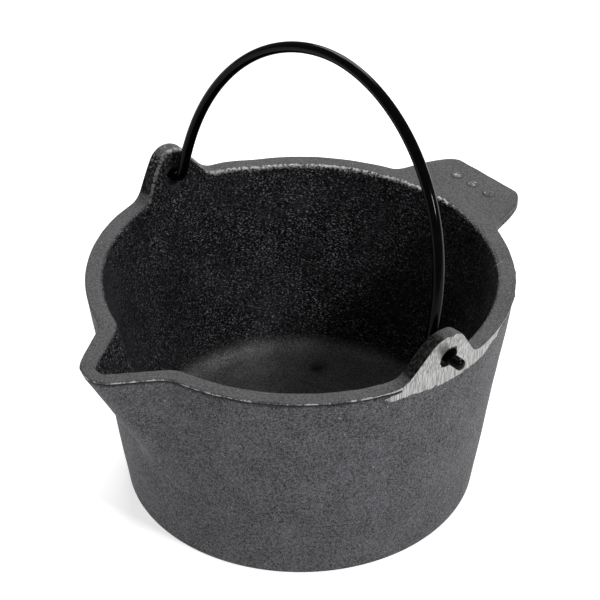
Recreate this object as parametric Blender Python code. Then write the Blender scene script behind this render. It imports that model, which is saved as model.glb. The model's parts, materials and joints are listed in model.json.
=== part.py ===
"""Small cast-iron melting pot with a pouring spout, a thumb tab and a swinging wire bail.

The pot stands on the XY plane with its underside centred on the origin. The spout points along
-Y, the tab along +Y, and the bail hangs in the two ears at +X and -X.
"""

from math import acos, atan2, cos, pi, radians, sin, sqrt, tan

import bmesh
import bpy
from mathutils import Matrix, Vector

# The bowl: a tapered pot with a straight cast wall
RIM_HEIGHT = 0.0672
RIM_RADIUS = 0.060
BASE_RADIUS = 0.0508
WALL = 0.005
FOOT_WALL = 0.007
FLOOR = 0.0066
FLOOR_FILLET = 0.0045
BASE_EDGE = 0.0008
RIM_OUTER_EDGE = 0.0005
RIM_INNER_EDGE = 0.0012

# The spout: a V with a rounded tip that runs down the wall as a keel
SPOUT_REACH = 0.0141
SPOUT_HALF_ANGLE = radians(33.5)
SPOUT_TIP_RADIUS = 0.0074
SPOUT_WALL = 0.0042
SPOUT_DROP = 0.0372
SPOUT_LIP = 0.0011
SPOUT_NECK = 0.0022
CHANNEL_NECK = 0.0008

# The thumb tab, flush with the rim
TAB_REACH = 0.0147
TAB_HALF_WIDTH = 0.0142
TAB_FLARE = radians(14.7)
TAB_EDGE_THICKNESS = 0.0033
TAB_ROOT_THICKNESS = 0.0047
TAB_CORNER = 0.0022
TAB_ROOT_BLEND = 0.0028

# The ears: the wall carried up past the rim as rounded lobes
EAR_HEIGHT = 0.0127
EAR_TOP_RADIUS = 0.0068
EAR_FLANK_ANGLE = radians(55)
EAR_FOOT_RADIUS = 0.006
EAR_OFFSET = -0.001
EAR_GROUND_DEPTH = 0.0005
EAR_ROOT_OUTSIDE = 0.0042
EAR_ROOT_INSIDE = 0.0135

# The bail: one length of round wire
WIRE_DIAMETER = 0.0032
HOLE_DIAMETER = 0.0058
HOLE_ABOVE_RIM = 0.0045
LEG_GAP = 0.0016
WIRE_END_STANDS_OUT = 0.0053
WIRE_BEND_RADIUS = 0.003
BAIL_HEIGHT = 0.0593
BAIL_CROWN_POWER = 1.93
BAIL_LEG_POWER = 2.22
BAIL_LEAN = radians(14.3)

# How finely the shapes are cut up, and how far round the pot the fine steps reach on each side
FEATURE_STEP = radians(1.7)
PLAIN_STEP = radians(5)
SPOUT_SPAN = radians(21)
TAB_SPAN = radians(23)
EAR_SPAN = radians(20)
LOW_WALL_RINGS = 2
HIGH_WALL_RINGS = 5
CAVITY_RINGS = 8
ARC_STEPS = 4
ARCH_STEPS = 52
HOLE_SIDES = 32
SHARP_EDGE = radians(35)

# Sizes that follow from those above
WALL_SLOPE = (RIM_RADIUS - BASE_RADIUS) / RIM_HEIGHT
CAVITY_SLOPE = WALL_SLOPE + (FOOT_WALL - WALL) / RIM_HEIGHT
KEEL_SLOPE = (SPOUT_REACH + WALL_SLOPE * SPOUT_DROP) / (SPOUT_DROP - SPOUT_LIP)
HOLE_HEIGHT = RIM_HEIGHT + HOLE_ABOVE_RIM
SPOUT_SIDE, TAB_SIDE, RIGHT_SIDE, LEFT_SIDE = -pi / 2, pi / 2, 0.0, pi


def outer_radius(z):
    return RIM_RADIUS + WALL_SLOPE * (z - RIM_HEIGHT)


def inner_radius(z):
    return RIM_RADIUS - WALL + CAVITY_SLOPE * (z - RIM_HEIGHT)


def angle_from(direction, angle):
    """How far an angle lies from a direction, from 0 to pi."""
    return acos(max(-1.0, min(1.0, cos(angle - direction))))


def smooth_max(a, b, blend):
    """The larger of a and b, with the corner between them filled where they are close."""
    near = max(0.0, blend - abs(a - b)) / blend
    return max(a, b) + near * near * blend / 4


def smooth_min(a, b, blend):
    return -smooth_max(-a, -b, blend)


def slanted_side(angle, distance, slant):
    """Distance from the pot's axis to a straight side that closes in outwards by slant."""
    return distance / sin(min(angle + slant, pi / 2))


def spout_edge(angle, tip, tip_radius):
    """Distance from the pot's axis to a V with a rounded tip."""
    centre = tip - tip_radius
    touch = atan2(tip_radius * cos(SPOUT_HALF_ANGLE), centre + tip_radius * sin(SPOUT_HALF_ANGLE))
    if angle < touch:
        return centre * cos(angle) + sqrt(tip_radius**2 - (centre * sin(angle)) ** 2)
    return slanted_side(angle, centre * sin(SPOUT_HALF_ANGLE) + tip_radius, SPOUT_HALF_ANGLE)


def spout_pull_back(z):
    """How far the spout has drawn back towards the wall at this height."""
    return KEEL_SLOPE * max(0.0, RIM_HEIGHT - SPOUT_LIP - z)


def tab_edge(angle):
    """Distance from the pot's axis to the outline of the tab."""
    reach = RIM_RADIUS + TAB_REACH
    front = reach / cos(min(angle, pi / 3))
    side = slanted_side(angle, TAB_HALF_WIDTH * cos(TAB_FLARE) + reach * sin(TAB_FLARE), TAB_FLARE)
    return smooth_min(front, side, TAB_CORNER)


def ear_height(y):
    """Height of the ears above the rim: a round top, straight flanks and hollow feet."""
    y = abs(y - EAR_OFFSET)
    top_centre = EAR_HEIGHT - EAR_TOP_RADIUS
    flank_start = EAR_TOP_RADIUS * sin(EAR_FLANK_ANGLE)
    flank_top = top_centre + EAR_TOP_RADIUS * cos(EAR_FLANK_ANGLE)
    foot = flank_start + flank_top / tan(EAR_FLANK_ANGLE)
    foot_end = foot + EAR_FOOT_RADIUS * tan(EAR_FLANK_ANGLE / 2)
    foot_start = foot_end - EAR_FOOT_RADIUS * sin(EAR_FLANK_ANGLE)
    if y < flank_start:
        return top_centre + sqrt(EAR_TOP_RADIUS**2 - y * y)
    if y < foot_start:
        return flank_top - (y - flank_start) * tan(EAR_FLANK_ANGLE)
    if y < foot_end:
        return EAR_FOOT_RADIUS - sqrt(EAR_FOOT_RADIUS**2 - (foot_end - y) ** 2)
    return 0.0


def ear_rise(angle):
    """How far the rim stands up at this angle round the pot."""
    return ear_height(RIM_RADIUS * sin(angle))


def outline_angles():
    """Angles round the pot, close together at the spout, the tab and the ears."""
    found = []
    spans = [(SPOUT_SIDE, SPOUT_SPAN), (RIGHT_SIDE, EAR_SPAN), (TAB_SIDE, TAB_SPAN), (LEFT_SIDE, EAR_SPAN)]
    for (side, span), (_, next_span) in zip(spans, spans[1:] + spans[:1]):
        steps = 2 * round(span / FEATURE_STEP)
        found += [side - span + 2 * span * step / steps for step in range(steps)]
        plain = pi / 2 - span - next_span
        steps = round(plain / PLAIN_STEP)
        found += [side + span + plain * step / steps for step in range(steps)]
    return found


def outside(angle, z, with_tab):
    """The pot's outer radius at this angle and nominal height."""
    plain = outer_radius(z)
    from_spout = angle_from(SPOUT_SIDE, angle)
    tip = RIM_RADIUS + SPOUT_REACH - spout_pull_back(z)
    radius = smooth_max(plain, spout_edge(from_spout, tip, SPOUT_TIP_RADIUS), SPOUT_NECK)
    if with_tab:
        radius = smooth_max(radius, tab_edge(angle_from(TAB_SIDE, angle)), TAB_ROOT_BLEND)
    return radius


def inside(angle, z):
    """The cavity's radius at this angle and nominal height."""
    plain = inner_radius(z)
    tip = RIM_RADIUS + SPOUT_REACH - SPOUT_WALL - spout_pull_back(z)
    channel = spout_edge(angle_from(SPOUT_SIDE, angle), tip, SPOUT_TIP_RADIUS - SPOUT_WALL)
    return smooth_max(plain, channel, CHANNEL_NECK)


def ground_face(angle, z):
    """Distance from the pot's axis to the flat ground on the outside of each ear."""
    return (outer_radius(z) - EAR_GROUND_DEPTH) / max(abs(cos(angle)), cos(pi / 3))


def rise_share(z, top, depth):
    """The share of the ears' rise that a ring takes: 1 from top upwards, 0 from depth below it downwards."""
    return max(0.0, min(1.0, 1 - (top - z) / depth))


def outer_ring(angles, z, inset=0.0):
    """One ring of the outer wall, the tab's edge or the rim."""
    with_tab = z > RIM_HEIGHT - (TAB_ROOT_THICKNESS + TAB_EDGE_THICKNESS) / 2
    share = rise_share(z, RIM_HEIGHT - RIM_OUTER_EDGE, EAR_ROOT_OUTSIDE)
    ring = []
    for angle in angles:
        rise = share * ear_rise(angle)
        radius = outside(angle, z, with_tab) + WALL_SLOPE * rise
        if share > 0:
            radius = min(radius, ground_face(angle, z + rise))
        radius -= inset
        ring.append(Vector((radius * cos(angle), radius * sin(angle), z + rise)))
    return ring


def inner_ring(angles, z, inset=0.0, drop=0.0):
    """One ring of the cavity, set out from its wall and down from the rim for the rounded edge."""
    share = rise_share(z, RIM_HEIGHT - RIM_INNER_EDGE, EAR_ROOT_INSIDE)
    ring = []
    for angle in angles:
        rise = share * ear_rise(angle)
        radius = inside(angle, z) + CAVITY_SLOPE * rise + inset
        ring.append(Vector((radius * cos(angle), radius * sin(angle), z + rise - drop)))
    return ring


def outer_rings(angles):
    """From under the base, up the outside to the rim's outer edge."""
    spout_foot = RIM_HEIGHT - SPOUT_DROP
    tab_root = RIM_HEIGHT - TAB_ROOT_THICKNESS
    low = [BASE_EDGE + (spout_foot - BASE_EDGE) * step / LOW_WALL_RINGS for step in range(LOW_WALL_RINGS)]
    high = [
        spout_foot + (tab_root - spout_foot) * step / HIGH_WALL_RINGS for step in range(HIGH_WALL_RINGS + 1)
    ]
    tab_edge_foot = RIM_HEIGHT - TAB_EDGE_THICKNESS
    edge = [tab_edge_foot, (tab_edge_foot + RIM_HEIGHT) / 2, RIM_HEIGHT - RIM_OUTER_EDGE]
    rings = [outer_ring(angles, 0.0, BASE_EDGE)]
    rings += [outer_ring(angles, z) for z in low + high + edge]
    rings.append(outer_ring(angles, RIM_HEIGHT, RIM_OUTER_EDGE))
    return rings


def rim_rings(angles):
    """The rounded inner edge of the rim."""
    rings = []
    for step in range(ARC_STEPS + 1):
        turn = pi / 2 * step / ARC_STEPS
        inset, drop = RIM_INNER_EDGE * (1 - sin(turn)), RIM_INNER_EDGE * (1 - cos(turn))
        rings.append(inner_ring(angles, RIM_HEIGHT, inset, drop))
    return rings


def cavity_rings(angles):
    """The cavity from just under the rim down to the flat of its floor."""
    slant = atan2(CAVITY_SLOPE, 1)
    edge_foot = RIM_HEIGHT - RIM_INNER_EDGE
    fillet_top = FLOOR + FLOOR_FILLET * (1 - sin(slant))
    rings = []
    for step in range(1, CAVITY_RINGS + 1):
        rings.append(inner_ring(angles, edge_foot + (fillet_top - edge_foot) * step / CAVITY_RINGS))
    centre = inner_radius(fillet_top) - FLOOR_FILLET * cos(slant)
    for step in range(1, ARC_STEPS + 1):
        turn = slant + (pi / 2 - slant) * step / ARC_STEPS
        radius = centre + FLOOR_FILLET * cos(turn)
        z = FLOOR + FLOOR_FILLET * (1 - sin(turn))
        rings.append([Vector((radius * cos(angle), radius * sin(angle), z)) for angle in angles])
    return rings


def loft(rings):
    """A closed mesh through rings of equal count, with a flat face at each end."""
    mesh = bmesh.new()
    count = len(rings[0])
    rows = [[mesh.verts.new(point) for point in ring] for ring in rings]
    for low, high in zip(rows, rows[1:]):
        for i in range(count):
            j = (i + 1) % count
            mesh.faces.new((low[i], low[j], high[j], high[i]))
    mesh.faces.new(reversed(rows[0]))
    mesh.faces.new(rows[-1])
    bmesh.ops.recalc_face_normals(mesh, faces=mesh.faces)
    return mesh


def make_object(name, mesh, collection, material=None):
    data = bpy.data.meshes.new(name)
    mesh.to_mesh(data)
    mesh.free()
    if material:
        data.materials.append(material)
    made = bpy.data.objects.new(name, data)
    collection.objects.link(made)
    return made


def make_material(name, colour, roughness, metallic):
    material = bpy.data.materials.new(name)
    material.use_nodes = True
    shader = material.node_tree.nodes["Principled BSDF"]
    shader.inputs["Base Color"].default_value = (*colour, 1)
    shader.inputs["Roughness"].default_value = roughness
    shader.inputs["Metallic"].default_value = metallic
    return material


def make_hole_cutter(collection):
    """One long drill through both ears, on a line above the rim."""
    mesh = bmesh.new()
    length = 3 * RIM_RADIUS
    place = Matrix.Translation((0, EAR_OFFSET, HOLE_HEIGHT)) @ Matrix.Rotation(pi / 2, 4, "Y")
    bmesh.ops.create_cone(
        mesh,
        cap_ends=True,
        segments=HOLE_SIDES,
        radius1=HOLE_DIAMETER / 2,
        radius2=HOLE_DIAMETER / 2,
        depth=length,
        matrix=place,
    )
    cutter = make_object("ear_drill", mesh, collection)
    cutter.hide_render = True
    cutter.display_type = "WIRE"
    return cutter


def make_pot(parts, cutters):
    iron = make_material("cast_iron", (0.055, 0.056, 0.06), 0.62, 0.6)
    angles = outline_angles()
    surface = loft(outer_rings(angles) + rim_rings(angles) + cavity_rings(angles))
    pot = make_object("cast_pot", surface, parts, iron)
    drill = pot.modifiers.new("ear_holes", "BOOLEAN")
    drill.operation = "DIFFERENCE"
    drill.solver = "EXACT"
    drill.object = make_hole_cutter(cutters)
    pot.data.shade_smooth()
    pot.data.set_sharp_from_angle(angle=SHARP_EDGE)
    return pot


def bail_half():
    """The wire from its end outside the right ear to just short of the crown.

    Each point is (x, height above the holes, share of the wire's radius)."""
    leg = inner_radius(HOLE_HEIGHT) - LEG_GAP - WIRE_DIAMETER / 2
    end = outer_radius(HOLE_HEIGHT) - EAR_GROUND_DEPTH + WIRE_END_STANDS_OUT
    rounding = WIRE_DIAMETER / 4
    points = [(end, 0, 0.5), (end - rounding / 3, 0, 0.8), (end - rounding, 0, 1)]
    for step in range(ARC_STEPS + 1):
        turn = pi / 2 * step / ARC_STEPS
        x = leg + WIRE_BEND_RADIUS * (1 - sin(turn))
        points.append((x, WIRE_BEND_RADIUS * (1 - cos(turn)), 1))
    for step in range(1, ARCH_STEPS // 2):
        turn = pi / 2 * step / (ARCH_STEPS / 2)
        height = BAIL_HEIGHT * sin(turn) ** (2 / BAIL_LEG_POWER)
        if height > WIRE_BEND_RADIUS + WIRE_DIAMETER / 2:
            points.append((leg * cos(turn) ** (2 / BAIL_CROWN_POWER), height, 1))
    return points


def make_bail(parts):
    """The bail's object sits on the hinge and leans back, so its own X is the axis that it swings on."""
    half = bail_half()
    points = half + [(0, BAIL_HEIGHT, 1)] + [(-x, z, share) for x, z, share in reversed(half)]
    curve = bpy.data.curves.new("wire_bail", "CURVE")
    curve.dimensions = "3D"
    curve.bevel_depth = WIRE_DIAMETER / 2
    curve.bevel_resolution = 2
    curve.use_fill_caps = True
    line = curve.splines.new("POLY")
    line.points.add(len(points) - 1)
    for point, (x, z, share) in zip(line.points, points):
        point.co = (x, 0, z, 1)
        point.radius = share
    curve.materials.append(make_material("black_painted_wire", (0.012, 0.012, 0.013), 0.34, 0.0))
    bail = bpy.data.objects.new("wire_bail", curve)
    bail.location = (0, EAR_OFFSET, HOLE_HEIGHT)
    bail.rotation_euler = (-BAIL_LEAN, 0, 0)
    parts.objects.link(bail)
    return bail


def main():
    for old in list(bpy.data.objects):
        bpy.data.objects.remove(old)
    parts = bpy.data.collections.new("candle_melting_pot")
    cutters = bpy.data.collections.new("cutters")
    for collection in (parts, cutters):
        bpy.context.scene.collection.children.link(collection)
    cutters.hide_render = True
    make_pot(parts, cutters)
    make_bail(parts)


main()
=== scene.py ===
"""Finished look of the candle melting pot: the cast-iron pot and the black wire bail in its ears.

Everything is in metres in the part's own frame: the pot stands on z = 0, the spout points along
-Y, the tab along +Y, and the ears stand at +X and -X.
"""

import json
from math import acos, atan2, cos, degrees, hypot, pi, radians, sin, sqrt, tan

import bmesh
import bpy
from mathutils import Matrix, Vector, noise


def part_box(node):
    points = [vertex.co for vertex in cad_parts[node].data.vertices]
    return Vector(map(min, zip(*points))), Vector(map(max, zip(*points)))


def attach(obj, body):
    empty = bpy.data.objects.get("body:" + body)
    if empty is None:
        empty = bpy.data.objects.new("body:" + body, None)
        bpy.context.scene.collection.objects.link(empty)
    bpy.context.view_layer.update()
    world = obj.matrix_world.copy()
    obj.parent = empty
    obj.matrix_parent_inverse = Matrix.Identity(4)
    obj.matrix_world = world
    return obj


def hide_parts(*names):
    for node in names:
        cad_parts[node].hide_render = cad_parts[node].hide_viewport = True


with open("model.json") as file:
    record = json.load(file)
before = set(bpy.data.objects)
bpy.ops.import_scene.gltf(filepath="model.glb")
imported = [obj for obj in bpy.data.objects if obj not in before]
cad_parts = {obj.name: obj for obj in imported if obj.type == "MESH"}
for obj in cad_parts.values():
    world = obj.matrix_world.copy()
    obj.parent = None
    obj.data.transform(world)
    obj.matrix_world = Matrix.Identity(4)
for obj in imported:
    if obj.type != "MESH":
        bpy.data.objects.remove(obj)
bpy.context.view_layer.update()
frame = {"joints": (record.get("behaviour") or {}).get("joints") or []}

MM = 0.001

# The bowl
RIM_HEIGHT = 67.2 * MM
RIM_RADIUS = 60.0 * MM
BASE_RADIUS = 50.8 * MM
WALL = 5.0 * MM
FOOT_WALL = 7.0 * MM
FLOOR = 6.6 * MM
FLOOR_FILLET = 4.5 * MM
BASE_EDGE = 0.8 * MM
RIM_OUTER_EDGE = 0.3 * MM
RIM_INNER_EDGE = 1.2 * MM

# The spout
SPOUT_REACH = 14.1 * MM
SPOUT_HALF_ANGLE = radians(33.5)
SPOUT_TIP_RADIUS = 7.4 * MM
SPOUT_WALL = 4.2 * MM
SPOUT_DROP = 37.2 * MM
SPOUT_LIP = 1.1 * MM
SPOUT_NECK = 2.2 * MM
CHANNEL_NECK = 3.0 * MM
SPOUT_BULGE = 1.1 * MM
SPOUT_BULGE_DEPTH = 20 * MM

# The thumb tab
TAB_REACH = 15.55 * MM
TAB_HALF_WIDTH = 15.5 * MM
TAB_FLARE = radians(14.7)
TAB_EDGE_THICKNESS = 3.3 * MM
TAB_ROOT_THICKNESS = 4.7 * MM
TAB_CORNER = 11.0 * MM
TAB_CROWN = 0.35 * MM
TAB_CROWN_SPREAD = 0.19
TAB_ROOT_BLEND = 2.8 * MM
TAB_EDGE_ROUND = 0.8 * MM
TAB_WAVER = 0.25 * MM
TAB_TURN = radians(0.6)

# The ears and their holes
EAR_HEIGHT = 12.7 * MM
EAR_TOP_RADIUS = 6.8 * MM
EAR_FLANK_ANGLE = radians(55)
EAR_FOOT_RADIUS = 6.0 * MM
EAR_ROOT_OUTSIDE = 4.2 * MM
EAR_ROOT_INSIDE = 13.5 * MM
HOLE_DIAMETER = 5.8 * MM
HOLE_ABOVE_RIM = 4.5 * MM
EAR_SKEW = 1.0 * MM
EAR_GROUND_DEPTH = 0.5 * MM
LEFT_EAR_FOOT_RISE = 1.0 * MM
LEFT_HOLE_DIAMETER = 4.9 * MM
HOLE_SIDES = 72
HOLE_MARGIN = 0.05 * MM

# The casting's unevenness, as (height, pitch, seed), and how far it draws the outside in
OUTSIDE_LUMPS = ((0.16 * MM, 22 * MM, 0.0), (0.07 * MM, 5 * MM, 5.0))
INSIDE_LUMPS = ((0.2 * MM, 18 * MM, 9.0), (0.12 * MM, 4 * MM, 2.0))
RIM_LUMPS = ((0.08 * MM, 6 * MM, 12.0),)
FLOOR_LUMPS = ((0.12 * MM, 9 * MM, 4.0),)
DRAWN_IN = 0.1 * MM

# The parting-line fin round the rim's outer edge, and the drawn-in line just under it
FIN_WIDTH = 0.34 * MM
FIN_UNDERCUT = 0.3 * MM
FIN_BREAKS = ((0.7, 9 * MM, 3.0), (0.8, 1.7 * MM, 7.0))

# Ragged metal along the rim's inner edge
BURR = 0.12 * MM
BURR_BY_TAB = 0.3 * MM
BURR_PITCH = 1.1 * MM

# The flats that the belt left on the outside of each ear, as
# (angle from the ear towards the tab in degrees, depth in millimetres)
GROUND_PASSES = (
    (-16, 0.35),
    (-12.5, 0.38),
    (-9, 0.41),
    (-5.7, 0.43),
    (-2.5, 0.44),
    (0.8, 0.45),
    (4, 0.46),
    (7, 0.45),
    (10, 0.43),
    (13, 0.38),
    (16, 0.32),
    (20, 0.25),
    (24, 0.18),
    (28, 0.14),
    (31, 0.11),
)
GROUND_SLOPE = 0.09
GROUND_REACH = radians(50)
GROUND_REACH_DOWN = 9 * MM

# The bail
WIRE_RADIUS = 1.6 * MM
LEG_GAP = 1.6 * MM
WIRE_END_STANDS_OUT = 5.3 * MM
WIRE_BEND_RADIUS = 3.0 * MM
BAIL_HEIGHT = 59.3 * MM
BAIL_CROWN_POWER = 1.93
BAIL_LEG_POWER = 2.22
BAIL_LEAN = radians(14.3)
LEFT_END_UP = 0.6 * MM
LEFT_END_BACK = 0.4 * MM

# Sizes that follow from those above
WALL_SLOPE = (RIM_RADIUS - BASE_RADIUS) / RIM_HEIGHT
CAVITY_SLOPE = WALL_SLOPE + (FOOT_WALL - WALL) / RIM_HEIGHT
KEEL_SLOPE = (SPOUT_REACH + WALL_SLOPE * SPOUT_DROP) / (SPOUT_DROP - SPOUT_LIP)
HINGE = Vector(frame["joints"][0]["pos_m"])
HOLE_HEIGHT = RIM_HEIGHT + HOLE_ABOVE_RIM
SPOUT_SIDE, TAB_SIDE = -pi / 2, pi / 2

# Three plain bosses on the tab
BOSS_RADIUS = 2.1 * MM
BOSS_SUNK = 0.1 * MM
BOSS_FLATNESS = 0.26
BOSS_PITCH = 6.6 * MM
BOSS_Y = 67.5 * MM

# A small hollow in the floor of the pot
DIMPLE_X, DIMPLE_Y = -23 * MM, 27 * MM
DIMPLE_RADIUS = 3.5 * MM
DIMPLE_DEPTH = 0.8 * MM

# What the casting's surface is divided into
ZONES = ("cavity", "top", "ground", "lip", "painted_shade", "flank", "painted_highlight", "floor")

# The camera
CAMERA_AZIMUTH = 49.0
CAMERA_ELEVATION = 35.69
CAMERA_DISTANCE = 0.6191
CAMERA_AIM_HEIGHT = 57 * MM
CAMERA_AIM_LEFT = 0.08 * MM
CAMERA_LENS = 132

# The studio. Each softbox is (name, azimuth, elevation, width in metres, power in watts).
SOFTBOXES = (("right_softbox", 96, 35, 0.18, 8), ("back_softbox", 225, 40, 0.7, 11))
SOFTBOX_DISTANCE = 1.2
SKY_STRENGTH = 0.27
FLOOR_GLOW = 0.64
FLOOR_DROP = 0.05 * MM

# The darkest and lightest colour of each finish
WALL_COLOURS = (0.006, 0.006, 0.007), (0.136, 0.136, 0.147)
RIM_COLOURS = (0.038, 0.038, 0.039), (0.142, 0.142, 0.146)
CAVITY_COLOURS = (0.0006, 0.0006, 0.0008), (0.022, 0.022, 0.026)
# Painted light: the cavity's floor and fillet are coloured lighter than its walls
PAINTED_LIGHT_FLOOR_COLOURS = (0.03, 0.03, 0.031), (0.185, 0.185, 0.185)
GROUND_COLOURS = (0.15, 0.15, 0.146), (0.45, 0.45, 0.44)
FLANK_COLOURS = (0.003, 0.003, 0.003), (0.06, 0.06, 0.058)
WIRE_COLOURS = (0.0006, 0.0006, 0.0007), (0.0016, 0.0016, 0.0018)
SPECK_COLOUR = (0.26, 0.26, 0.26)
# Painted glints in the cavity, which are partly metallic as well
PAINTED_GLINT_COLOUR = (0.36, 0.36, 0.385)
# Painted shade in the ear holes, in the line under the fin and in the floor's dimple
PAINTED_SHADE_COLOUR = (0.004, 0.004, 0.004)
# A painted highlight on the rim's inner edge, the left ear's crown and the bosses
PAINTED_HIGHLIGHT_COLOUR = (0.29, 0.29, 0.29)
# A painted highlight along the fin's edge, which is half metallic as well
FIN_HIGHLIGHT_COLOUR = (0.40, 0.40, 0.39)

# How finely the pieces are cut up
TURN_STEPS = 135
TURN_CUTS = 3
BEND_STEPS = 14
ARCH_STEPS = 110
WIRE_SIDES = 24
CROWDING = 0.5


def outer_radius(z):
    return RIM_RADIUS + WALL_SLOPE * (z - RIM_HEIGHT)


def inner_radius(z):
    return RIM_RADIUS - WALL + CAVITY_SLOPE * (z - RIM_HEIGHT)


def between(value, low, high):
    """0 at low, 1 at high, held at both ends."""
    return max(0.0, min(1.0, (value - low) / (high - low)))


def ease(value, low, high):
    """As between, with soft ends."""
    share = between(value, low, high)
    return share * share * (3 - 2 * share)


def mix(a, b, share):
    return a + (b - a) * share


def angle_from(direction, angle):
    return acos(max(-1.0, min(1.0, cos(angle - direction))))


def smooth_max(a, b, blend):
    near = max(0.0, blend - abs(a - b)) / blend
    return max(a, b) + near * near * blend / 4


def smooth_min(a, b, blend):
    return -smooth_max(-a, -b, blend)


def slanted_side(angle, distance, slant):
    return distance / sin(min(angle + slant, pi / 2))


def spout_edge(angle, tip, tip_radius):
    """Distance from the pot's axis to a V with a rounded tip."""
    centre = tip - tip_radius
    touch = atan2(tip_radius * cos(SPOUT_HALF_ANGLE), centre + tip_radius * sin(SPOUT_HALF_ANGLE))
    if angle < touch:
        return centre * cos(angle) + sqrt(tip_radius**2 - (centre * sin(angle)) ** 2)
    return slanted_side(angle, centre * sin(SPOUT_HALF_ANGLE) + tip_radius, SPOUT_HALF_ANGLE)


def tab_edge(angle):
    """Distance from the pot's axis to the tab's rounded outline."""
    reach = RIM_RADIUS + TAB_REACH
    off = min(angle, pi / 3)
    front = (reach - TAB_CROWN * (tan(off) / TAB_CROWN_SPREAD) ** 2) / cos(off)
    side = slanted_side(angle, TAB_HALF_WIDTH * cos(TAB_FLARE) + reach * sin(TAB_FLARE), TAB_FLARE)
    return smooth_min(front, side, TAB_CORNER)


def ear_height(y):
    """Height of the ears above the rim: a round top, straight flanks and hollow feet."""
    y = abs(y - HINGE.y)
    top_centre = EAR_HEIGHT - EAR_TOP_RADIUS
    flank_start = EAR_TOP_RADIUS * sin(EAR_FLANK_ANGLE)
    flank_top = top_centre + EAR_TOP_RADIUS * cos(EAR_FLANK_ANGLE)
    foot = flank_start + flank_top / tan(EAR_FLANK_ANGLE)
    foot_end = foot + EAR_FOOT_RADIUS * tan(EAR_FLANK_ANGLE / 2)
    foot_start = foot_end - EAR_FOOT_RADIUS * sin(EAR_FLANK_ANGLE)
    if y < flank_start:
        return top_centre + sqrt(EAR_TOP_RADIUS**2 - y * y)
    if y < foot_start:
        return flank_top - (y - flank_start) * tan(EAR_FLANK_ANGLE)
    if y < foot_end:
        return EAR_FOOT_RADIUS - sqrt(EAR_FOOT_RADIUS**2 - (foot_end - y) ** 2)
    return 0.0


def ear_rise(angle):
    """How far the rim stands up here. The right ear sits nearer the spout than the left one."""
    y = RIM_RADIUS * sin(angle)
    if cos(angle) > 0:
        return ear_height(y + EAR_SKEW)
    foot = ease(y, 5 * MM, 12 * MM) * (1 - ease(y, 17 * MM, 30 * MM))
    return ear_height(y - EAR_SKEW) + LEFT_EAR_FOOT_RISE * foot


def spout_pull_back(z):
    return KEEL_SLOPE * max(0.0, RIM_HEIGHT - SPOUT_LIP - z)


def unevenness(x, y, z, pitch, seed=0.0):
    """Smooth noise from -1 to 1 whose lumps are about pitch across."""
    return noise.noise(Vector((x / pitch, y / pitch, z / pitch + seed)))


def lumps(x, y, z, sizes):
    """The sum of several sizes of unevenness, each (height, pitch, seed)."""
    return sum(height * unevenness(x, y, z, pitch, seed) for height, pitch, seed in sizes)


def fin_share(angle):
    """How much of the fin is left at this angle: most of it from the spout to the right ear."""
    off = degrees(atan2(sin(angle - SPOUT_SIDE), cos(angle - SPOUT_SIDE)))
    front = between(off, -9, -3) * (1 - between(off, 74, 82))
    back = between(off, 110, 118) * (1 - between(off, 140, 150))
    left = between(off, -150, -130) * (1 - between(off, -60, -40))
    return max(front, 0.7 * back, 0.4 * left)


def fin(angle, z):
    """How far the fin stands out here, below zero in the line under it."""
    x, y = RIM_RADIUS * cos(angle), RIM_RADIUS * sin(angle)
    ragged = max(0.0, 0.55 + lumps(x, y, 0, FIN_BREAKS)) * fin_share(angle)
    down = RIM_HEIGHT - z
    lip = ease(down, -0.05 * MM, 0.2 * MM) * (1 - ease(down, 0.4 * MM, 0.75 * MM))
    under = ease(down, 0.5 * MM, 0.85 * MM) * (1 - ease(down, 1.2 * MM, 2.4 * MM))
    return FIN_WIDTH * ragged * lip - FIN_UNDERCUT * under * fin_share(angle)


def spout_bulge(angle, z):
    """The left side of the spout stands a little prouder than the right one."""
    off = degrees(SPOUT_SIDE - angle) % 360
    share = ease(off, 1, 8) * (1 - ease(off, 15, 25))
    return SPOUT_BULGE * share * between(z, RIM_HEIGHT - SPOUT_BULGE_DEPTH, RIM_HEIGHT)


def tab_rounding(z):
    """How far the tab's edge draws in at its top and bottom corners."""
    from_edge = min(RIM_HEIGHT - z, z - (RIM_HEIGHT - TAB_EDGE_THICKNESS))
    short = max(0.0, 1 - max(0.0, from_edge) / TAB_EDGE_ROUND)
    return TAB_EDGE_ROUND * (1 - sqrt(1 - min(1.0, short) ** 2))


def outside(angle, z):
    """The casting's outer radius before grinding, at this angle and nominal height."""
    tip = RIM_RADIUS + SPOUT_REACH - spout_pull_back(z)
    spout = spout_edge(angle_from(SPOUT_SIDE, angle), tip, SPOUT_TIP_RADIUS) + spout_bulge(angle, z)
    radius = smooth_max(outer_radius(z), spout, SPOUT_NECK)
    root, foot = RIM_HEIGHT - TAB_ROOT_THICKNESS, RIM_HEIGHT - TAB_EDGE_THICKNESS + 0.3 * MM
    if z > root:
        from_tab = angle_from(TAB_SIDE + TAB_TURN, angle)
        tab = tab_edge(from_tab) - tab_rounding(z)
        tab += TAB_WAVER * (unevenness(tab * cos(angle), tab * sin(angle), 0, 7 * MM, 6.0) - 0.6)
        with_tab = smooth_max(radius, tab, TAB_ROOT_BLEND)
        radius = mix(radius, with_tab, smooth_min(between(z, root, foot) * 1.06, 1.0, 0.2))
    return radius + fin(angle, z)


def inside(angle, z):
    """The cavity's radius at this angle and nominal height."""
    tip = RIM_RADIUS + SPOUT_REACH - SPOUT_WALL - spout_pull_back(z)
    channel = spout_edge(angle_from(SPOUT_SIDE, angle), tip, SPOUT_TIP_RADIUS - SPOUT_WALL)
    return smooth_max(inner_radius(z), channel, CHANNEL_NECK)


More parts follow.
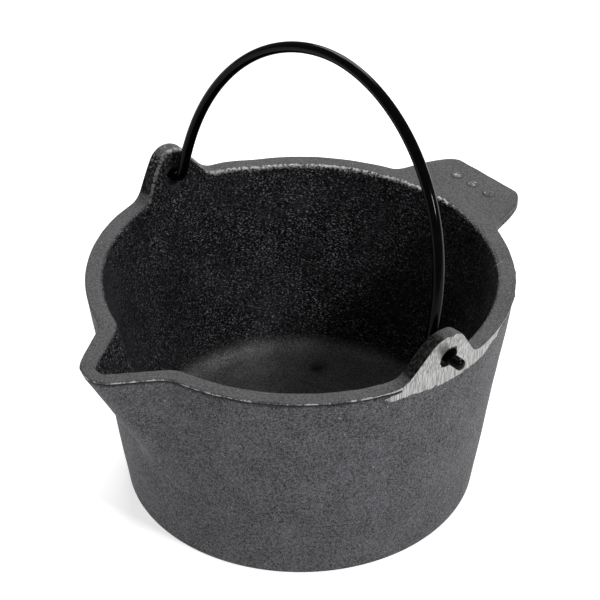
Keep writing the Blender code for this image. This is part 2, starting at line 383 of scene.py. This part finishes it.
def burr(angle, z):
    """Ragged metal left along the rim's inner edge, worst beside the tab."""
    down = RIM_HEIGHT - z
    near_edge = 1 - ease(down, 0.6 * MM, 2.2 * MM)
    if near_edge <= 0:
        return 0.0
    off = degrees(angle_from(TAB_SIDE + radians(6), angle))
    height = BURR + BURR_BY_TAB * (1 - ease(off, 4, 14))
    x, y = RIM_RADIUS * cos(angle), RIM_RADIUS * sin(angle)
    return near_edge * lumps(x, y, z, ((height, BURR_PITCH, 8.0),))


def ground_radius(angle, z):
    """Distance from the pot's axis to what the belt left, as the nearest of several flat passes."""
    low = max(0.0, RIM_HEIGHT - z)
    turned = angle if cos(angle) > 0 else pi - angle
    turned = atan2(sin(turned), cos(turned))
    if abs(turned) > GROUND_REACH:
        return 1.0
    return min(
        (outer_radius(z) - depth * MM + GROUND_SLOPE * low) / cos(turned - radians(turn))
        for turn, depth in GROUND_PASSES
    )


def cast_wall(angle, radius, z):
    """Where a point of the plain turned wall or rim goes on the real casting."""
    from_inside = radius - inner_radius(z)
    from_outside = outer_radius(z) - radius
    share = between(from_inside, 1.4 * MM, WALL - 0.8 * MM)
    ear_root_in, ear_root_out = RIM_HEIGHT - RIM_INNER_EDGE, RIM_HEIGHT - 0.5 * MM
    rise_in = between(z, ear_root_in - EAR_ROOT_INSIDE, ear_root_in)
    rise_out = between(z, ear_root_out - EAR_ROOT_OUTSIDE, ear_root_out)
    rise = mix(rise_in, rise_out, share) * ear_rise(angle)
    out = outside(angle, z) + WALL_SLOPE * rise
    x, y, height = out * cos(angle), out * sin(angle), z + rise
    out += lumps(x, y, height, OUTSIDE_LUMPS) - DRAWN_IN
    if height > RIM_HEIGHT - GROUND_REACH_DOWN:
        out = min(out, ground_radius(angle, height))
    into = inside(angle, z) + CAVITY_SLOPE * rise
    into += lumps(x, y, height, INSIDE_LUMPS) + burr(angle, z)
    radius = mix(into + from_inside, out - from_outside, share)
    x, y = radius * cos(angle), radius * sin(angle)
    if z > RIM_HEIGHT - 2 * MM:
        height += lumps(x, y, 0, RIM_LUMPS)
    return Vector((x, y, height))


def crowded(angle):
    """Draws the points round the pot together at the spout, the tab and the ears."""
    return angle - CROWDING / 4 * sin(4 * angle)


def turned_section(mesh):
    """Half the pot's plain section as a chain of edges, with its corners rounded."""
    fine_below = RIM_HEIGHT - GROUND_REACH_DOWN
    high, mid, low = RIM_HEIGHT - 1.4 * MM, RIM_HEIGHT - 3.2 * MM, RIM_HEIGHT - TAB_ROOT_THICKNESS
    # Each corner is (radius, height, pitch in millimetres of the points up to the next one).
    chain = (
        (0, 0, 12),
        (BASE_RADIUS, 0, 1.6),
        (outer_radius(fine_below), fine_below, 0.5),
        (outer_radius(low), low, 0.28),
        (outer_radius(mid), mid, 0.6),
        (outer_radius(high), high, 0.2),
        (RIM_RADIUS, RIM_HEIGHT, 0.4),
        (RIM_RADIUS - WALL, RIM_HEIGHT, 1.6),
        (inner_radius(FLOOR), FLOOR, 1.4),
        (28 * MM, FLOOR, 5),
        (0, FLOOR, 0),
    )
    verts = [mesh.verts.new((radius, 0, z)) for radius, z, _ in chain]
    for (first, second), (_, _, pitch) in zip(zip(verts, verts[1:]), chain):
        edge = mesh.edges.new((first, second))
        edge[mesh.edges.layers.float["pitch"]] = pitch * MM
    slant = pi / 2 - atan2(CAVITY_SLOPE, 1)
    rounded = (
        (1, BASE_EDGE, 3),
        (6, RIM_OUTER_EDGE, 2),
        (7, RIM_INNER_EDGE, 5),
        (8, FLOOR_FILLET * tan(slant / 2), 7),
    )
    for corner, offset, segments in rounded:
        bmesh.ops.bevel(
            mesh,
            geom=[verts[corner]],
            offset=offset,
            offset_type="OFFSET",
            segments=segments,
            profile=0.5,
            affect="VERTICES",
            material=-1,
        )


def subdivide_section(mesh):
    pitch = mesh.edges.layers.float["pitch"]
    for edge in list(mesh.edges):
        if edge[pitch] > 0:
            cuts = int(edge.calc_length() / edge[pitch])
            if cuts:
                bmesh.ops.subdivide_edges(mesh, edges=[edge], cuts=cuts)


def make_object(name, mesh, material=None):
    data = bpy.data.meshes.new(name)
    mesh.to_mesh(data)
    mesh.free()
    if material:
        data.materials.append(material)
    made = bpy.data.objects.new(name, data)
    bpy.context.scene.collection.objects.link(made)
    return made


def turned_pot():
    """The plain round pot, with the section's own radius kept on every vertex."""
    mesh = bmesh.new()
    mesh.edges.layers.float.new("pitch")
    plain_radius = mesh.verts.layers.float.new("plain_radius")
    turned_section(mesh)
    subdivide_section(mesh)
    for vert in mesh.verts:
        vert[plain_radius] = vert.co.x
    bmesh.ops.spin(
        mesh,
        geom=mesh.verts[:] + mesh.edges[:],
        cent=(0, 0, 0),
        axis=(0, 0, 1),
        angle=2 * pi,
        steps=TURN_STEPS,
        use_merge=True,
    )
    bmesh.ops.remove_doubles(mesh, verts=mesh.verts, dist=1e-6)
    bmesh.ops.dissolve_degenerate(mesh, edges=mesh.edges, dist=1e-7)
    around = [
        edge
        for edge in mesh.edges
        if abs(edge.verts[0][plain_radius] - edge.verts[1][plain_radius]) < 1e-7
        and abs(edge.verts[0].co.z - edge.verts[1].co.z) < 1e-7
    ]
    bmesh.ops.subdivide_edges(mesh, edges=around, cuts=TURN_CUTS, use_grid_fill=True)
    bmesh.ops.recalc_face_normals(mesh, faces=mesh.faces)
    return mesh


def floor_point(angle, radius, z):
    """Where a point of the floor, its fillet or the underside goes."""
    x, y = radius * cos(angle), radius * sin(angle)
    if z > BASE_EDGE:
        z += lumps(x, y, z, FLOOR_LUMPS)
        z -= DIMPLE_DEPTH * (1 - ease(hypot(x - DIMPLE_X, y - DIMPLE_Y), 0.5 * MM, DIMPLE_RADIUS))
    return Vector((x, y, z))


def pot_mesh():
    mesh = turned_pot()
    plain_radius = mesh.verts.layers.float["plain_radius"]
    for vert in mesh.verts:
        x, y, z = vert.co
        radius = vert[plain_radius]
        if radius < 0.1 * MM:
            continue
        angle = crowded(atan2(y, x))
        on_floor = radius < inner_radius(z) - 0.05 * MM
        if on_floor or z < BASE_EDGE / 2:
            vert.co = floor_point(angle, radius, z)
        else:
            vert.co = cast_wall(angle, radius, z)
    return mesh


def drilled_and_bossed(pot):
    """Drills both ears in one pass and adds the three plain bosses on the tab."""
    drill = bmesh.new()
    along_x = Matrix.Rotation(pi / 2, 4, "Y")
    for side, diameter in ((1, HOLE_DIAMETER), (-1, LEFT_HOLE_DIAMETER)):
        bmesh.ops.create_cone(
            drill,
            cap_ends=True,
            segments=HOLE_SIDES,
            radius1=diameter / 2,
            radius2=diameter / 2,
            depth=RIM_RADIUS,
            matrix=Matrix.Translation((side * RIM_RADIUS, HINGE.y, HOLE_HEIGHT)) @ along_x,
        )
    bosses = bmesh.new()
    squash = Matrix.Diagonal((1, 0.9, BOSS_FLATNESS, 1))
    for x in (-BOSS_PITCH, 0, BOSS_PITCH):
        bmesh.ops.create_uvsphere(
            bosses,
            u_segments=28,
            v_segments=16,
            radius=BOSS_RADIUS,
            matrix=Matrix.Translation((x, BOSS_Y, RIM_HEIGHT - BOSS_SUNK)) @ squash,
        )
    tools = [(make_object("drill", drill), "DIFFERENCE"), (make_object("bosses", bosses), "UNION")]
    for tool, operation in tools:
        cut = pot.modifiers.new(tool.name, "BOOLEAN")
        cut.operation, cut.solver, cut.object = operation, "EXACT", tool
    bpy.context.view_layer.update()
    shaped = pot.evaluated_get(bpy.context.evaluated_depsgraph_get())
    data = bpy.data.meshes.new_from_object(shaped)
    pot.modifiers.clear()
    pot.data = data
    for tool, _ in tools:
        bpy.data.objects.remove(tool)


def painted_highlight_share(angle):
    """How strongly the rim's inner edge gets a painted highlight: most of it from the tab round to
    the left ear.
    """
    turn = degrees(angle) % 360
    back = between(turn, 78, 92) * (1 - between(turn, 190, 197))
    right = 0.4 * between(turn, 12, 20) * (1 - between(turn, 80, 90))
    return max(back, right, 0.12)


def fin_zones(angle, radius, z):
    """The fin's painted highlight and the painted shadow line under it, as shares."""
    down = RIM_HEIGHT - z
    if down < -0.2 * MM:
        return 0.0, 0.0
    out = radius - outside(angle, RIM_HEIGHT - 1.4 * MM)
    lip = ease(out, 0.1 * MM, 0.5 * MM) * (1 - ease(down, 0.5 * MM, 0.7 * MM))
    under = ease(down, 0.45 * MM, 0.7 * MM) * (1 - ease(down, 1.1 * MM, 2.0 * MM))
    if out < -1.2 * MM:
        under = 0.0
    return lip * fin_share(angle), under * fin_share(angle)


def painted_highlight_zone(x, y, z, angle, from_inside):
    """Where a highlight is painted on, with some metal: the inner edge, the left ear's crown, the
    bosses.
    """
    if y > RIM_RADIUS + 2 * MM:
        return 0.6 * ease(z, RIM_HEIGHT + 0.1 * MM, RIM_HEIGHT + 0.3 * MM)
    crest = RIM_HEIGHT + ear_rise(angle)
    painted_highlight = ease(from_inside, -0.5 * MM, 0.1 * MM) * (1 - ease(from_inside, 0.6 * MM, 1.3 * MM))
    painted_highlight *= ease(z, crest - 1.6 * MM, crest - 0.8 * MM) * painted_highlight_share(angle)
    if x < 0 and z > RIM_HEIGHT + 8 * MM:
        painted_highlight = max(painted_highlight, 0.5 * ease(z, crest - 0.9 * MM, crest - 0.3 * MM))
    return painted_highlight


def zones(point, normal):
    """How much of each of the finishes in ZONES a point of the casting has."""
    x, y, z = point
    angle, radius = atan2(y, x), hypot(x, y)
    found = dict.fromkeys(ZONES, 0.0)
    from_hinge = hypot(y - HINGE.y, z - HOLE_HEIGHT)
    # The inside of the ear holes is painted shade.
    if z > RIM_HEIGHT and from_hinge < HOLE_DIAMETER / 2 + HOLE_MARGIN:
        found["painted_shade"] = 1.0
        return found
    from_inside = radius - inside(angle, z)
    if z > FLOOR / 2:
        found["cavity"] = 1 - ease(from_inside, -0.1 * MM, 0.7 * MM)
        # The floor share carries the floor's painted light, and also its smoother bump and fewer
        # glints
        if from_inside < 0.2 * MM:
            found["floor"] = 1 - ease(z, FLOOR + 1 * MM, FLOOR + 6 * MM)
    facing_out = abs(normal.x * cos(angle) + normal.y * sin(angle))
    top = ease(z, RIM_HEIGHT - 1.2 * MM, RIM_HEIGHT - 0.2 * MM) * (1 - ease(facing_out, 0.45, 0.85))
    found["top"] = top * (1 - found["cavity"])
    if z > RIM_HEIGHT - GROUND_REACH_DOWN:
        from_belt = abs(radius - ground_radius(angle, z))
        found["ground"] = 1 - ease(from_belt, 0.01 * MM, 0.05 * MM)
    cast = 1 - found["ground"]
    # The fin's edge gets a painted highlight, and the line under it painted shadow.
    lip, under = fin_zones(angle, radius, z)
    found["lip"], found["painted_shade"] = lip * cast, under * cast
    # The floor's dimple is painted shade.
    if found["floor"]:
        from_dimple = hypot(x - DIMPLE_X, y - DIMPLE_Y)
        found["painted_shade"] = 0.8 * (1 - ease(from_dimple, 0.8 * MM, 3.2 * MM))
    spout_side = ease(HINGE.y - y, 1.5 * MM, 4 * MM)
    found["flank"] = ease(z, RIM_HEIGHT + 0.8 * MM, RIM_HEIGHT + 3 * MM) * spout_side * cast
    found["painted_highlight"] = painted_highlight_zone(x, y, z, angle, from_inside)
    return found


def mark_zones(data):
    normals = [vert.normal.copy() for vert in data.vertices]
    found = [zones(vert.co, normal) for vert, normal in zip(data.vertices, normals)]
    for name in ZONES:
        layer = data.attributes.new(name, "FLOAT", "POINT")
        layer.data.foreach_set("value", [shares[name] for shares in found])


def hold_in(data, low, high):
    """Keeps every point inside the CAD solid's own box."""
    for vert in data.vertices:
        vert.co = Vector(max(lo, min(hi, at)) for at, lo, hi in zip(vert.co, low, high))


def make_pot():
    pot = make_object("pot_casting", pot_mesh())
    drilled_and_bossed(pot)
    hold_in(pot.data, *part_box("cast_pot"))
    mark_zones(pot.data)
    pot.data.shade_smooth()
    pot.data.set_sharp_from_angle(angle=radians(38))
    pot.data.materials.append(cast_iron())
    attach(pot, "pot")
    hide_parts("cast_pot")


def bail_half():
    """The wire from its end at the right ear to the crown, as (x, height, share of the radius)."""
    leg = inner_radius(HINGE.z) - LEG_GAP - WIRE_RADIUS
    end = outer_radius(HINGE.z) - EAR_GROUND_DEPTH + WIRE_END_STANDS_OUT
    dome = 0.6 * WIRE_RADIUS
    stations = []
    for step in range(7):
        turn = pi / 2 * (step + 0.6) / 6.6
        stations.append((end - dome * (1 - cos(turn)), 0, sin(turn)))
    straight = end - dome - leg - WIRE_BEND_RADIUS
    stations += [(end - dome - straight * step / 12, 0, 1) for step in range(1, 12)]
    for step in range(BEND_STEPS + 1):
        turn = pi / 2 * step / BEND_STEPS
        inward, up = WIRE_BEND_RADIUS * (1 - sin(turn)), WIRE_BEND_RADIUS * (1 - cos(turn))
        stations.append((leg + inward, up, 1))
    for step in range(1, ARCH_STEPS):
        turn = pi / 2 * step / ARCH_STEPS
        height = BAIL_HEIGHT * sin(turn) ** (2 / BAIL_LEG_POWER)
        if height > WIRE_BEND_RADIUS + 0.4 * MM:
            stations.append((leg * cos(turn) ** (2 / BAIL_CROWN_POWER), height, 1))
    return stations


def station_places(stations):
    """A matrix for each station, its Z along the wire and its scale the share of the radius."""
    places = []
    for i, (x, height, share) in enumerate(stations):
        before, after = stations[max(0, i - 1)], stations[min(len(stations) - 1, i + 1)]
        along = Vector((after[0] - before[0], 0, after[1] - before[1])).normalized()
        side = Vector((0, 1, 0))
        turn = Matrix((side.cross(along), side, along)).transposed().to_4x4()
        places.append(Matrix.Translation((x, 0, height)) @ turn @ Matrix.Scale(share, 4))
    return places


def hand_bend(vert):
    """The left end was bent a little short, so it sits higher in its hole and further back."""
    share = ease(-vert.co.x, 0, 40 * MM) * (1 - ease(vert.co.z, 4 * MM, 34 * MM))
    vert.co.y += LEFT_END_BACK * share
    vert.co.z += LEFT_END_UP * share


def bail_mesh():
    half = bail_half()
    other_half = [(-x, height, share) for x, height, share in reversed(half)]
    stations = half + [(0, BAIL_HEIGHT, 1)] + other_half
    places = station_places(stations)
    mesh = bmesh.new()
    bmesh.ops.create_circle(
        mesh, cap_ends=True, segments=WIRE_SIDES, radius=WIRE_RADIUS, matrix=places[0]
    )
    edges = mesh.edges[:]
    for last, place in zip(places, places[1:]):
        made = bmesh.ops.extrude_edge_only(mesh, edges=edges)["geom"]
        verts = [item for item in made if isinstance(item, bmesh.types.BMVert)]
        edges = [item for item in made if isinstance(item, bmesh.types.BMEdge)]
        bmesh.ops.transform(mesh, matrix=place @ last.inverted(), verts=verts)
    bmesh.ops.holes_fill(mesh, edges=edges, sides=0)
    bmesh.ops.recalc_face_normals(mesh, faces=mesh.faces)
    for vert in mesh.verts:
        hand_bend(vert)
    swing = Matrix.Translation(HINGE) @ Matrix.Rotation(-BAIL_LEAN, 4, "X")
    bmesh.ops.transform(mesh, matrix=swing, verts=mesh.verts)
    return mesh


def make_bail():
    bail = make_object("bail_bar", bail_mesh(), wire_paint())
    hold_in(bail.data, *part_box("wire_bail"))
    bail.data.shade_smooth()
    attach(bail, "bail")
    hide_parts("wire_bail")


class Number:
    """A number socket of a material, with arithmetic that adds Math nodes."""

    def __init__(self, finish, socket):
        self.finish, self.socket = finish, socket

    def maths(self, operation, *values):
        made = self.finish.node("ShaderNodeMath", {"operation": operation}, dict(enumerate(values)))
        return Number(self.finish, made.outputs[0])

    def __add__(self, other):
        return self.maths("ADD", self, other)

    def __radd__(self, other):
        return self.maths("ADD", other, self)

    def __sub__(self, other):
        return self.maths("SUBTRACT", self, other)

    def __rsub__(self, other):
        return self.maths("SUBTRACT", other, self)

    def __mul__(self, other):
        return self.maths("MULTIPLY", self, other)

    def __rmul__(self, other):
        return self.maths("MULTIPLY", other, self)

    def largest(self, other):
        return self.maths("MAXIMUM", self, other)

    def eased(self, low, high, start=0.0, end=1.0):
        """start at low, end at high, held at both ends and soft between."""
        made = self.finish.node(
            "ShaderNodeMapRange",
            {"interpolation_type": "SMOOTHSTEP"},
            {"Value": self, "From Min": low, "From Max": high, "To Min": start, "To Max": end},
        )
        return Number(self.finish, made.outputs[0])


class Finish:
    """A material being put together round its Principled shader."""

    def __init__(self, name, constants):
        self.material = bpy.data.materials.new(name)
        self.material.use_nodes = True
        self.tree = self.material.node_tree
        self.shader = self.tree.nodes["Principled BSDF"]
        self.place = self.node("ShaderNodeTexCoord").outputs["Object"]
        for socket, value in constants.items():
            self.shader.inputs[socket].default_value = value

    def plug(self, socket, value):
        if isinstance(value, Number):
            value = value.socket
        if isinstance(value, bpy.types.NodeSocket):
            self.tree.links.new(value, socket)
        else:
            socket.default_value = value

    def node(self, kind, settings=None, inputs=None):
        made = self.tree.nodes.new(kind)
        for name, value in (settings or {}).items():
            setattr(made, name, value)
        for socket, value in (inputs or {}).items():
            self.plug(made.inputs[socket], value)
        return made

    def grain(self, pitch, detail=2.0, roughness=0.5, stretch=(1, 1, 1), seed=0.0):
        """Noise whose lumps are about pitch across, from 0 to 1 and mostly near 0.5."""
        mapping = self.node(
            "ShaderNodeMapping",
            {},
            {"Vector": self.place, "Location": (seed, seed, seed), "Scale": stretch},
        )
        made = self.node(
            "ShaderNodeTexNoise",
            {},
            {
                "Vector": mapping.outputs[0],
                "Scale": 1 / pitch,
                "Detail": detail,
                "Roughness": roughness,
            },
        )
        return Number(self, made.outputs[0])

    def zone(self, name):
        made = self.node("ShaderNodeAttribute", {"attribute_name": name})
        return Number(self, made.outputs["Fac"])

    def colour(self, share, low, high):
        made = self.node("ShaderNodeMix", {"data_type": "RGBA"}, {0: share})
        for socket, value in ((made.inputs[6], low), (made.inputs[7], high)):
            self.plug(socket, (*value, 1) if isinstance(value, tuple) else value)
        return made.outputs[2]

    def choose(self, share, low, high):
        made = self.node("ShaderNodeMix", {"data_type": "FLOAT"}, {0: share, 2: low, 3: high})
        return Number(self, made.outputs[0])

    def bump(self, height, distance):
        made = self.node("ShaderNodeBump", {}, {"Height": height, "Distance": distance})
        self.plug(self.shader.inputs["Normal"], made.outputs[0])

    def finish(self, colour, roughness, metallic=None):
        self.plug(self.shader.inputs["Base Color"], colour)
        self.plug(self.shader.inputs["Roughness"], roughness)
        if metallic is not None:
            self.plug(self.shader.inputs["Metallic"], metallic)
        return self.material


def cast_iron():
    iron = Finish("cast_iron", {"Specular IOR Level": 0.09})
    cavity, top, ground, lip, painted_shade, flank, painted_highlight, floor = [iron.zone(name) for name in ZONES]
    sand = iron.grain(0.42 * MM, 2, 0.6)
    crumbs = iron.grain(0.95 * MM, 2, 0.55, seed=0.2)
    patches = iron.grain(11 * MM, 3, 0.55, seed=0.3)
    coarse = iron.grain(1.1 * MM, 3, 0.65, stretch=(1, 1, 1.6), seed=0.7)
    ragged = iron.grain(0.8 * MM, 2, 0.6, seed=0.9) - 0.5
    broken = iron.grain(3.5 * MM, 2, 0.6, seed=0.4) - 0.6
    scratch = iron.grain(0.26 * MM, 2, 0.6, stretch=(1, 1, 0.035), seed=0.5)
    specks = iron.grain(0.7 * MM, 1, 0.5, seed=0.6).eased(0.735, 0.77)
    # Specks in the cavity: painted glints in the colour, and a little metal
    painted_and_metal_glints = iron.grain(0.62 * MM, 2, 0.6, stretch=(1, 1, 1.7), seed=0.8).eased(0.55, 0.68)
    blotches = patches.eased(0.3, 0.7)

    fine_tone = sand.eased(0.36, 0.64) * 0.6 + crumbs.eased(0.33, 0.67) * 0.27
    tone = fine_tone + blotches * 0.13
    wall = iron.colour(specks, iron.colour(tone, *WALL_COLOURS), SPECK_COLOUR)
    rim = iron.colour(tone, *RIM_COLOURS)
    inner = iron.colour(coarse.eased(0.42, 0.66), *CAVITY_COLOURS)
    # Painted glints: bright specks put into the cavity's colour
    inner = iron.colour(painted_and_metal_glints * patches.eased(0.25, 0.7, 0.4, 1.0), inner, PAINTED_GLINT_COLOUR)
    # Painted light on the cavity's floor: coloured lighter than the cavity's walls
    lit_floor_colour = iron.colour(sand.eased(0.34, 0.66) * 0.75 + blotches * 0.25, *PAINTED_LIGHT_FLOOR_COLOURS)
    bright = iron.colour(scratch.eased(0.3, 0.7), *GROUND_COLOURS)
    # The ears' spout-side flanks are coloured darker
    flank_tone = iron.colour(ragged.eased(-0.15, 0.25), *FLANK_COLOURS)

    ground = (ground + ragged * 0.5).eased(0.35, 0.65)
    flank = (flank + ragged * 0.8).eased(0.4, 0.8)
    # The fin's edge takes a painted highlight, and half metal
    lip = (lip + ragged * 2.0 + broken * 2.4).eased(0.5, 0.9)
    # Painted highlight, made partly metallic too
    painted_highlight_and_metal = (painted_highlight + ragged * 3.0 * painted_highlight.eased(0.0, 0.5)).eased(0.62, 1.1)

    colour = iron.colour(top, wall, rim)
    colour = iron.colour(flank, colour, flank_tone)
    # The cavity's floor gets its painted light here
    colour = iron.colour(cavity, colour, iron.colour(floor, inner, lit_floor_colour))
    # Painted shade in the ear holes, under the fin and in the floor's dimple
    colour = iron.colour(painted_shade * 0.85, colour, PAINTED_SHADE_COLOUR)
    # The painted highlight on the inner edge, the left ear's crown and the bosses
    colour = iron.colour(painted_highlight_and_metal, colour, PAINTED_HIGHLIGHT_COLOUR)
    # The painted highlight along the fin
    colour = iron.colour(lip, colour, FIN_HIGHLIGHT_COLOUR)
    colour = iron.colour(ground, colour, bright)

    skin_roughness = sand.eased(0.3, 0.7, 0.66, 0.5)
    roughness = iron.choose(cavity, skin_roughness, coarse.eased(0.3, 0.7, 0.5, 0.3))
    roughness = iron.choose(ground, roughness, scratch.eased(0.3, 0.7, 0.5, 0.32))
    height = iron.choose(cavity, sand * 0.5 + crumbs * 0.45, coarse * 6 * (1 - floor * 0.85))
    height = iron.choose(ground, height, scratch * 0.2)
    iron.bump(height, 0.25 * MM)
    glinting = painted_and_metal_glints * cavity * (1 - floor) * 0.35
    metal = (ground * 0.9).largest(lip * 0.5).largest(painted_highlight_and_metal * 0.7).largest(glinting)
    return iron.finish(colour, roughness, metal)


def wire_paint():
    paint = Finish("black_wire_paint", {"Specular IOR Level": 0.07})
    ripple = paint.grain(2.2 * MM, 2, 0.5)
    fine = paint.grain(0.3 * MM, 2, 0.6, seed=0.4)
    colour = paint.colour(ripple.eased(0.3, 0.7), *WIRE_COLOURS)
    paint.bump(ripple * 0.4 + fine * 0.06, 0.05 * MM)
    return paint.finish(colour, ripple.eased(0.3, 0.7, 0.08, 0.12))


def make_floor():
    mesh = bmesh.new()
    bmesh.ops.create_grid(mesh, x_segments=1, y_segments=1, size=6)
    bmesh.ops.transform(mesh, matrix=Matrix.Translation((0, 0, -FLOOR_DROP)), verts=mesh.verts)
    glow = {"Emission Color": (1, 1, 1, 1), "Emission Strength": FLOOR_GLOW}
    white = Finish("pale_floor", glow)
    floor = make_object("floor", mesh, white.finish((0.8, 0.8, 0.8, 1), 0.9))


def make_softbox(name, azimuth, elevation, size, power):
    """A soft square light that faces the pot from that azimuth and elevation, in degrees."""
    turn, rise = radians(azimuth), radians(elevation)
    out = Vector((sin(turn) * cos(rise), -cos(turn) * cos(rise), sin(rise)))
    light = bpy.data.lights.new(name, "AREA")
    light.size, light.energy = size, power
    lamp = bpy.data.objects.new(name, light)
    lamp.location = out * SOFTBOX_DISTANCE + Vector((0, 0, RIM_HEIGHT))
    lamp.rotation_euler = (-out).to_track_quat("-Z", "Y").to_euler()
    bpy.context.scene.collection.objects.link(lamp)


def make_studio():
    world = bpy.data.worlds.new("studio")
    world.use_nodes = True
    sky = world.node_tree.nodes["Background"]
    sky.inputs["Color"].default_value = (1, 1, 1, 1)
    sky.inputs["Strength"].default_value = SKY_STRENGTH
    bpy.context.scene.world = world
    bpy.context.scene.view_settings.view_transform = "Standard"
    for softbox in SOFTBOXES:
        make_softbox(*softbox)


def make_camera():
    turn, rise = radians(CAMERA_AZIMUTH), radians(CAMERA_ELEVATION)
    back = Vector((sin(turn) * cos(rise), -cos(turn) * cos(rise), sin(rise)))
    aim = Vector((0, 0, CAMERA_AIM_HEIGHT)) - Vector((cos(turn), sin(turn), 0)) * CAMERA_AIM_LEFT
    camera = bpy.data.cameras.new("camera")
    camera.lens, camera.clip_start = CAMERA_LENS, 0.01
    viewer = bpy.data.objects.new("camera", camera)
    viewer.location = aim + back * CAMERA_DISTANCE
    viewer.rotation_euler = (-back).to_track_quat("-Z", "Y").to_euler()
    bpy.context.scene.collection.objects.link(viewer)
    bpy.context.scene.camera = viewer


make_camera()
make_studio()
make_floor()
make_pot()
make_bail()
